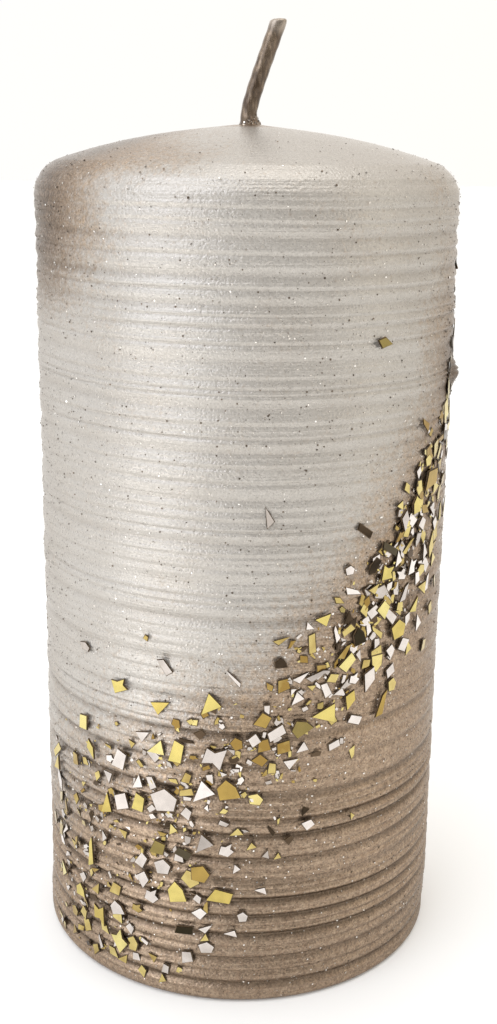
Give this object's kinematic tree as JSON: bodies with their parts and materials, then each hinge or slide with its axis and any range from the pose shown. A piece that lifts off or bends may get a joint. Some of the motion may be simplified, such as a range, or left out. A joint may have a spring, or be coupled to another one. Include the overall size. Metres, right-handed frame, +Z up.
{
  "type": "pillar candle",
  "caption": "Round pillar candle with a low dome, a leaning wick, a ring-ribbed pearl and bronze coat and a rising sash of metal-foil flakes.",
  "frame": {"origin": "centre of the base, on the surface that the candle stands on", "axes": "+Z up along the candle's axis; -Y is the front, where the foil sash crosses from low left to high right; the wick leans towards +X"},
  "size_m": [0.07, 0.0708, 0.1574],
  "materials": {
    "wax": "pressed paraffin wax, matt and slightly translucent",
    "pearl_lacquer": "wax coat under satin metallic lacquer, pearl white above and champagne bronze below",
    "lacquered_cotton": "cotton braid dipped in bronze-gold lacquer",
    "tinned_steel": "thin tinned steel, satin",
    "gold_foil": "gold-tone mirror foil",
    "silver_foil": "silver mirror foil",
    "dark_foil": "dark olive and black mirror foil"
  },
  "bodies": {
    "root": {"wax_core": "wax", "ribbed_coat": "pearl_lacquer", "wick": "lacquered_cotton", "wick_sustainer": "tinned_steel", "gold_flake_01": "gold_foil", "gold_flake_02": "gold_foil", "gold_flake_03": "gold_foil", "gold_flake_04": "gold_foil", "gold_flake_05": "gold_foil", "gold_flake_06": "gold_foil", "gold_flake_07": "gold_foil", "gold_flake_08": "gold_foil", "gold_flake_09": "gold_foil", "gold_flake_10": "gold_foil", "gold_flake_11": "gold_foil", "gold_flake_12": "gold_foil", "gold_flake_13": "gold_foil", "gold_flake_14": "gold_foil", "gold_flake_15": "gold_foil", "gold_flake_16": "gold_foil", "gold_flake_17": "gold_foil", "gold_flake_18": "gold_foil", "gold_flake_19": "gold_foil", "gold_flake_20": "gold_foil", "gold_flake_21": "gold_foil", "gold_flake_22": "gold_foil", "gold_flake_23": "gold_foil", "gold_flake_24": "gold_foil", "gold_flake_25": "gold_foil", "gold_flake_26": "gold_foil", "gold_flake_27": "gold_foil", "gold_flake_28": "gold_foil", "gold_flake_29": "gold_foil", "gold_flake_30": "gold_foil", "gold_flake_31": "gold_foil", "gold_flake_32": "gold_foil", "gold_flake_33": "gold_foil", "gold_flake_34": "gold_foil", "gold_flake_35": "gold_foil", "silver_flake_01": "silver_foil", "silver_flake_02": "silver_foil", "silver_flake_03": "silver_foil", "silver_flake_04": "silver_foil", "silver_flake_05": "silver_foil", "silver_flake_06": "silver_foil", "silver_flake_07": "silver_foil", "silver_flake_08": "silver_foil", "silver_flake_09": "silver_foil", "silver_flake_10": "silver_foil", "silver_flake_11": "silver_foil", "silver_flake_12": "silver_foil", "silver_flake_13": "silver_foil", "silver_flake_14": "silver_foil", "silver_flake_15": "silver_foil", "silver_flake_16": "silver_foil", "silver_flake_17": "silver_foil", "dark_flake_01": "dark_foil", "dark_flake_02": "dark_foil", "dark_flake_03": "dark_foil", "dark_flake_04": "dark_foil"}
  },
  "joints": []
}
